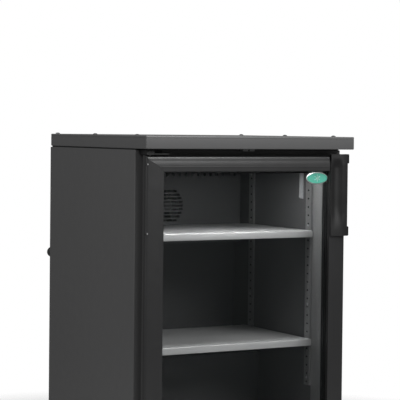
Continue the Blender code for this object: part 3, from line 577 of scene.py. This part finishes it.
# %% Gasket
seal_lo, seal_hi = span("door_gasket")
deep, broad = seal_hi[1] - seal_lo[1], 0.016
fold_t = np.linspace(0, 1, 13)
fold_in = 0.0022 * np.sin(2 * np.pi * fold_t) ** 2
outer_side = np.stack([fold_in, fold_t * deep], -1)
inner_side = np.stack([broad - fold_in, fold_t * deep], -1)[::-1]
seal_section = np.concatenate([outer_side, inner_side])
seal_rings = []
for sx, sz in corners:
    ring = np.zeros((len(seal_section), 3))
    ring[:, 0] = (seal_hi if sx > 0 else seal_lo)[0] - sx * seal_section[:, 0]
    ring[:, 1] = seal_lo[1] + seal_section[:, 1]
    ring[:, 2] = (seal_hi if sz > 0 else seal_lo)[2] - sz * seal_section[:, 0]
    seal_rings.append(ring)
place("door_seal", [lofted("seal", seal_rings, closed=True)], seal_and_shade_rubber, "door",
      ["door_gasket"])

# %% [markdown]
# ## Handle
# One moulding clipped over the free stile. Across the door its section climbs from a thin edge to
# a ridge and ends in a lip for the fingertips. Up the door, a thumb scoop is pressed into the
# slope and fades out at both ends, slowly below and quickly above, so each section is a blend of
# the plain slope and the hollow one. Two blocks close its outer side, in a duller black.

# %% Handle
grip_lo, grip_hi = span("handle_grip")
SEAT_GAP, LIP_ROUND, VALLEY = 0.0003, 0.0028, 0.42
lip_x, ridge_x, seat_y = 0.2928, 0.2752, door_lo[1] - SEAT_GAP
crest_y = grip_lo[1]
rows = np.linspace(0, 1, 81)
grip_z = grip_lo[2] + (grip_hi[2] - grip_lo[2]) * rows
slope_x = np.concatenate([[grip_lo[0]], np.linspace(grip_lo[0] + 0.0006, ridge_x, 33)])
share = (slope_x - slope_x[0]) / (slope_x[-1] - slope_x[0])
rise = seat_y - crest_y
plain_rise = 0.0034 + (rise - 0.0034) * share ** 0.9
plain_rise[0] = 0.0024
hollow_rise = 0.0030 - 0.0022 * np.sin(np.pi / 2 * np.clip(share / VALLEY, 0, 1)) ** 2
hollow_rise += (rise - 0.0008) * np.clip((share - VALLEY) / (1 - VALLEY), 0, 1) ** 2.2
hollow_rise[0] = 0.0022
fade = np.clip(np.minimum((rows - 0.05) / 0.34, (0.955 - rows) / 0.13), 0, 1)
scoop_along = fade * fade * (3 - 2 * fade)
lip_t = np.linspace(0, np.pi / 2, 5)
lip_round = np.stack([lip_x - LIP_ROUND * (1 - np.sin(lip_t)), crest_y + LIP_ROUND * (1 - np.cos(lip_t))], -1)
lip_back = np.array([(lip_x, door_lo[1] + 0.0030), (lip_x - 0.0005, door_lo[1] + 0.004),
                     (door_hi[0] + SEAT_GAP, door_lo[1] + 0.004), (door_hi[0] + SEAT_GAP, seat_y)])
rings = []
for z, press in zip(grip_z, scoop_along):
    front = seat_y - (plain_rise * (1 - press) + hollow_rise * press)
    outline = np.concatenate([[(slope_x[0], seat_y)], np.stack([slope_x, front], -1), lip_round, lip_back])
    rings.append(np.column_stack([outline, np.full(len(outline), z)]))
grip = lofted("grip", rings)
END_HEIGHT = 0.024
ends = [slab((door_hi[0] + SEAT_GAP, crest_y + 0.003, z), (grip_hi[0], grip_hi[1], z + END_HEIGHT),
             0.0022, 0.0018, "x") for z in (grip_lo[2], grip_hi[2] - END_HEIGHT)]
place("handle_moulding", [grip], handle_plastic, "door", ["handle_grip"], sharp=32)
place("handle_end_blocks", ends, end_plastic, "door")
print("handle:", [round(v, 4) for v in grip_hi - grip_lo])

# %% [markdown]
# ## Plugs for the other hand
# The door can be hung on either side, so the hinge side carries the handle's two screw holes,
# closed by small press-in plugs on the frame's rounded edge.

# %% Handle hole plugs
hole_plugs, plug_dots = [], []
for below_top in (0.070, 0.239):
    spot = (door_lo[0] + 0.0058, door_lo[1] + 0.0020, plate_hi[2] - below_top)
    profile = [(0.0042, 0.0030), (0.0042, -0.0008), (0.0034, -0.0014), (0.0022, -0.0009), (0.0001, -0.0009)]
    hole_plugs.append(turned(profile, spot, "y", 32))
    dot = [(0.0017, -0.0004), (0.0016, -0.0013), (0.0009, -0.0016), (0.0001, -0.0016)]
    plug_dots.append(turned(dot, spot, "y", 24))
place("handle_hole_plugs", hole_plugs, seal_and_shade_rubber, "door")
place("handle_hole_buttons", plug_dots, trim_and_lit_band_steel, "door")

# %% [markdown]
# ## Badge
# A plain enamelled plate with a metal rim and a six-armed frost star: only a decoration, with no
# lettering.

# %% Badge
badge_lo, badge_hi = span("door_badge")
badge_mid, badge_half = (badge_lo + badge_hi) / 2, (badge_hi - badge_lo) / 2
DOME = np.linspace(0, np.pi / 2, 7)


def oval(half_u, half_v, base_y, rise):
    """A shallow dome over an ellipse: ring k is the ellipse times cos t, raised by rise * sin t."""
    angle = np.linspace(0, 2 * np.pi, 72, endpoint=False)
    rings = []
    for scale, y in [(1.0, base_y), *[(np.cos(a * 0.96), base_y - 0.0006 - rise * np.sin(a)) for a in DOME]]:
        rings.append(np.stack([badge_mid[0] + half_u * scale * np.cos(angle), np.full(72, y),
                               badge_mid[2] + half_v * scale * np.sin(angle)], -1))
    return lofted("oval", rings)


rim = oval(badge_half[0], badge_half[2], badge_hi[1], 0.0010)
field = oval(badge_half[0] - 0.0022, badge_half[2] - 0.0022, badge_lo[1] + 0.0009, 0.0002)
place("badge_rim", [rim], badge_metal, "door", ["door_badge"])
place("badge_enamel_field", [field], badge_enamel, "door")
star_y = badge_lo[1] + 0.00015
star = []
for k in range(6):
    angle = math.pi / 3 * k + math.pi / 6
    arm = slab((0.0012, star_y - 0.00025, -0.0006), (0.0095, star_y + 0.0002, 0.0006),
               0.0005, 0.0001, "y", 2)
    arm.transform(Matrix.Translation((badge_mid[0], 0, badge_mid[2])) @ Matrix.Rotation(angle, 4, 'Y'))
    star.append(arm)
place("badge_star", star, badge_metal, "door")

# %% [markdown]
# ## Shelves
# Each shelf is a sheet tray: a deep front lip with closed, rounded ends, a flat deck and a short
# fold along the back. The lip is its own slab, and the deck is a folded sheet behind it.


# %% Shelves
def shelf(level):
    """Lip, deck with its rear fold, and two stiffening folds under the deck."""
    lo, hi = span("shelf_" + level)
    sheet, fold = 0.001, 0.012
    deck_half = 0.2430
    lip = slab((lo[0], lo[1], lo[2]), (hi[0], lo[1] + 0.004, hi[2]), 0.0035, 0.0013, "y")
    path = bent([(lo[1] + 0.002, hi[2] - sheet), (hi[1] - sheet, hi[2] - sheet),
                 (hi[1] - sheet, hi[2] - fold)], 0.0015)
    outline = sheet_outline(path, sheet)
    deck = extruded(outline, "x", -deck_half, deck_half)
    ribs = [slab((s * 0.229 - 0.0005, lo[1] + 0.003, hi[2] - fold),
                 (s * 0.229 + 0.0005, hi[1] - 0.002, hi[2] - sheet / 2), 0.0004, 0.0002, "x", 2)
            for s in (-1, 1)]
    place("shelf_tray_" + level, [lip, deck, *ribs], shelf_steel, level + "_shelf",
          ["shelf_" + level])


shelf("upper")
shelf("lower")

# %% [markdown]
# ## Rail screws
# The slotted rails are screwed to the liner. Their pan heads sit between the slots.

# %% Screws
SCREW_HEIGHTS, LOW_FRONT_SCREW = [0.676 - 0.0110, 0.456 + 0.0020, 0.786 + 0.0050], 0.2630
rail_screws = []
for place_name in ("front", "rear"):
    for side, s in (("left", -1), ("right", 1)):
        lo, hi = span(f"shelf_rail_{place_name}_{side}")
        face_x = lo[0] if s > 0 else hi[0]
        extra = [LOW_FRONT_SCREW] if place_name == "front" else []
        for z in SCREW_HEIGHTS + extra:
            rail_screws.append(screw_head((face_x, (lo[1] + hi[1]) / 2, z), "x", -s, 0.0032))
place("rail_screws", rail_screws, bare_steel, "cabinet")

# %% [markdown]
# ## Interior lamp, painted wall light and channel shade
# The lamp is a black hood with its frosted lens set back under it, so it lights the shelves and
# not the customer. Lighter strips on both walls behind the door are painted light, where the walls'
# front parts catch more light, and dark slabs in the rails paint the shade behind the slots. The
# sensor's cover is a slim wedge on the right wall.

# %% Lamp, painted light on the walls and painted shade in the rail channels
lamp_lo, lamp_hi = span("interior_lamp")
lip, roof = 0.0014, lamp_hi[2] - 0.0030
hood = np.array([(lamp_lo[1], lamp_lo[2]), (lamp_lo[1] + lip, lamp_lo[2]), (lamp_lo[1] + lip, roof),
                 (lamp_hi[1] - lip, roof), (lamp_hi[1] - lip, lamp_lo[2] + 0.003),
                 (lamp_hi[1], lamp_lo[2] + 0.003), (lamp_hi[1], lamp_hi[2]), (lamp_lo[1], lamp_hi[2])])
place("lamp_housing", [extruded(hood, "x", lamp_lo[0], lamp_hi[0])], black_plastic, "cabinet",
      ["interior_lamp"])
lens_t = np.linspace(0, np.pi, 13)
lens_half, lens_y = (lamp_hi[1] - lamp_lo[1]) / 2 - lip - 0.0002, (lamp_lo[1] + lamp_hi[1]) / 2
lens_outline = np.stack([lens_y + lens_half * np.cos(lens_t), roof - 0.0002 - 0.0034 * np.sin(lens_t)], -1)
place("lamp_lens", [extruded(lens_outline, "x", lamp_lo[0] + 0.002, lamp_hi[0] - 0.002)], lens, "cabinet")
lit_band_strips, channel_shade_slabs = [], []
# The lighter strips are painted light: a lighter steel finish where the walls' front parts catch more light
# than the deeper wall.
BAND_FRONT, BAND_LOW, BAND_HIGH = -0.2325, 0.097, 0.8145
for s, side in ((-1, "left"), (1, "right")):
    rail_lo, rail_hi = span("shelf_rail_front_" + side)
    wall = sorted((s * 0.2499, s * 0.2492))
    lit_band_strips.append(slab((wall[0], BAND_FRONT, BAND_LOW), (wall[1], rail_lo[1] - 0.0008, BAND_HIGH),
                      0.0006, 0.0002, "x", 2))
    # Painted shade: a dark rubber-finished slab inside each rail's channel stands for the shadow behind its
    # slots.
    for where in ("front", "rear"):
        rail_lo, rail_hi = span(f"shelf_rail_{where}_{side}")
        core = sorted((s * 0.2453, s * 0.2495))
        channel_shade_slabs.append(slab((core[0], rail_lo[1] + 0.0012, rail_lo[2] + 0.004),
                             (core[1], rail_hi[1] - 0.0012, rail_hi[2] - 0.004), 0.0004, 0.0002, "x", 2))
sensor_lo, sensor_hi = span("sensor_cover")
wedge = np.array([(sensor_hi[2], 0.2497), (sensor_hi[2] - 0.0012, 0.2458), (sensor_lo[2] + 0.012, 0.2448),
                  (sensor_lo[2] + 0.004, 0.2436), (sensor_lo[2], 0.2497)])
WEDGE_Y = (-0.1420, -0.1285)
place("sensor_wedge", [extruded(wedge, "y", *WEDGE_Y)], light_plastic, "cabinet",
      ["sensor_cover"])
place("liner_lit_band", lit_band_strips, trim_and_lit_band_steel, "cabinet")
place("rail_shadow_cores", channel_shade_slabs, seal_and_shade_rubber, "cabinet")

# %% [markdown]
# ## Back sheet
# The galvanised back is screwed to the folded edges of the sides and the deck, so pan heads run
# down both its edges and along its top and bottom.

# %% Back screws
back_y = span("back_panel")[1][1]
screw_spots = [(x, z) for x in (-0.291, 0.291) for z in np.linspace(0.040, 0.846, 7)]
screw_spots += [(x, z) for x in np.linspace(-0.194, 0.194, 3) for z in (0.030, 0.8545)]
place("back_screws", [screw_head((x, back_y, z), "y", 1, 0.0038) for x, z in screw_spots], bare_steel,
      "cabinet")

# %% [markdown]
# ## Small turned pieces
# Wall spacers, levelling feet and the thermostat knob are all turned, so they are profiles of
# radius against height.

# %% Turned pieces
for side in ("left", "right"):
    lo, hi = span("wall_spacer_" + side)
    radius, long = (hi[0] - lo[0]) / 2, hi[1] - lo[1]
    dome_t = np.linspace(0, np.pi / 2, 12)
    profile = [(radius * 0.9, 0), (radius, 0.0008), (radius, long * 0.30), (radius * 0.90, long * 0.33),
               (radius * 0.90, long * 0.37), (radius, long * 0.40), (radius, long * 0.80)]
    profile += [(radius * np.cos(a) + 1e-4, long * (0.80 + 0.20 * np.sin(a))) for a in dome_t[1:]]
    spacer = turned(profile, ((lo[0] + hi[0]) / 2, lo[1], (lo[2] + hi[2]) / 2), "y")
    place("wall_buffer_" + side, [spacer], black_plastic, "cabinet", ["wall_spacer_" + side])

for corner in ("front_left", "front_right", "rear_left", "rear_right"):
    lo, hi = span("foot_" + corner)
    x, y = (lo[0] + hi[0]) / 2, (lo[1] + hi[1]) / 2
    profile = [(0.0001, 0), (0.0150, 0), (0.0165, 0.0008), (0.0170, 0.0020), (0.0170, 0.0062),
               (0.0160, 0.0078), (0.0120, 0.0100), (0.0088, 0.0118), (0.0085, 0.0120), (0.0085, 0.0172),
               (0.0080, 0.0176), (0.0040, 0.0176)]
    turns = 14
    for k in range(turns):
        z = 0.0180 + (0.0385 - 0.0180) * k / turns
        profile += [(0.0040, z), (0.0036, z + 0.0007)]
    profile += [(0.0034, hi[2] - 0.0002), (0.0001, hi[2])]
    place("levelling_" + corner, [turned(profile, (x, y, 0.0))], sole_rubber, f"foot_{corner}_body",
          ["foot_" + corner])

knob_lo, knob_hi = span("thermostat_knob")
knob_x, knob_z = knob_hi[0] - 0.0112, knob_lo[2] + 0.0112
knob_seat = knob_hi[1] - 0.010
knob_t = np.linspace(0, 2 * np.pi, 144, endpoint=False)
knob_profile = [(0.0030, 0.010), (0.0030, 0.0), (0.0110, 0.0), (0.0112, -0.0008), (0.0104, -0.0085),
                (0.0098, -0.0102), (0.0086, -0.0110), (0.0001, -0.0112)]
knob_rings = []
for radius, depth in knob_profile:
    flute = 1 - 0.035 * (0.5 + 0.5 * np.cos(24 * knob_t)) * (radius > 0.0097)
    knob_rings.append(np.stack([knob_x + radius * flute * np.cos(knob_t),
                                np.full_like(knob_t, knob_seat + depth),
                                knob_z + radius * flute * np.sin(knob_t)], -1))
pointer = slab((knob_x - 0.0009, knob_seat - 0.0119, knob_z + 0.0010),
               (knob_x + 0.0009, knob_seat - 0.0060, knob_z + 0.0094), 0.0006, 0.0003, "y", 3)
place("knob_turning", [lofted("knob", knob_rings)], light_plastic, "knob",
      ["thermostat_knob"])
place("knob_pointer", [pointer], black_plastic, "knob")

# %% [markdown]
# ## Studio
# A pale floor that fades out away from the refrigerator, a white surround that is bright to the
# eye and dimmer as a light, three broad soft lights from the front, the left and above, a tall
# strip at the left, and the refrigerator's own lamp, which lights the top compartment.

# %% Floor, lights and surround
FLOOR_RADIUS, FADE_FROM, FADE_OVER = 2.2, 0.75, 0.65
disc_a = np.linspace(0, 2 * np.pi, 96, endpoint=False)
rim = np.stack([FLOOR_RADIUS * np.cos(disc_a), FLOOR_RADIUS * np.sin(disc_a), np.full(96, -0.0005)], -1)
floor_mesh = bpy.data.meshes.new("studio_floor")
floor_mesh.from_pydata(rim.tolist(), [], [list(range(96))])
floor = bpy.data.objects.new("studio_floor", floor_mesh)
floor_paint = Paint("studio_floor", Base_Color=(0.50, 0.50, 0.50), Roughness=0.8)
away = floor_paint.node('ShaderNodeVectorMath', {"operation": 'LENGTH'},
                        {0: floor_paint.node('ShaderNodeTexCoord', output="Object")}, output="Value")
floor_paint.set(Alpha=1.0 - (away - FADE_FROM).math('DIVIDE', FADE_OVER, clamp=True))
floor_mesh.materials.append(floor_paint.material)
bpy.context.scene.collection.objects.link(floor)

world = bpy.data.worlds.new("studio")
bpy.context.scene.world = world
world.use_nodes = True
tree = world.node_tree
surround = tree.nodes["Background"]
surround.inputs["Color"].default_value = (1, 1, 1, 1)
seen = tree.nodes.new('ShaderNodeLightPath')
level = tree.nodes.new('ShaderNodeMapRange')
level.inputs["To Min"].default_value = 0.22
level.inputs["To Max"].default_value = 1.0
tree.links.new(seen.outputs["Is Camera Ray"], level.inputs["Value"])
tree.links.new(level.outputs["Result"], surround.inputs["Strength"])


def soft_light(name, at, towards, size, power, height=None):
    """An area light aimed at a point; a height makes it a tall strip."""
    data = bpy.data.lights.new(name, 'AREA')
    data.shape = 'RECTANGLE'
    data.size, data.size_y, data.energy = size, height or size, power
    lamp = bpy.data.objects.new(name, data)
    lamp.location = at
    lamp.rotation_euler = (Vector(towards) - Vector(at)).to_track_quat('-Z', 'Y').to_euler()
    bpy.context.scene.collection.objects.link(lamp)


soft_light("front", (0.9, -2.8, 2.3), (0, -0.2, 0.9), 1.4, 78)
soft_light("left", (-1.9, -0.9, 2.5), (-0.2, 0, 0.9), 1.2, 42)
soft_light("above", (0.1, -1.1, 2.4), (0, -0.25, 0.85), 1.2, 34)
soft_light("strip", (-2.6, -1.65, 0.95), (-0.3, -0.28, 0.85), 0.22, 4, 1.3)
inside = bpy.data.lights.new("inside", 'AREA')
inside.shape, inside.size, inside.size_y, inside.energy = 'RECTANGLE', 0.40, 0.014, 0.95
inside_lamp = bpy.data.objects.new("inside", inside)
inside_lamp.visible_camera = False
inside_lamp.location = ((lamp_lo + lamp_hi) / 2 - np.array((0, 0, 0.0056))).tolist()
bpy.context.scene.collection.objects.link(inside_lamp)
print("lights:", [lamp.name for lamp in bpy.data.lights])
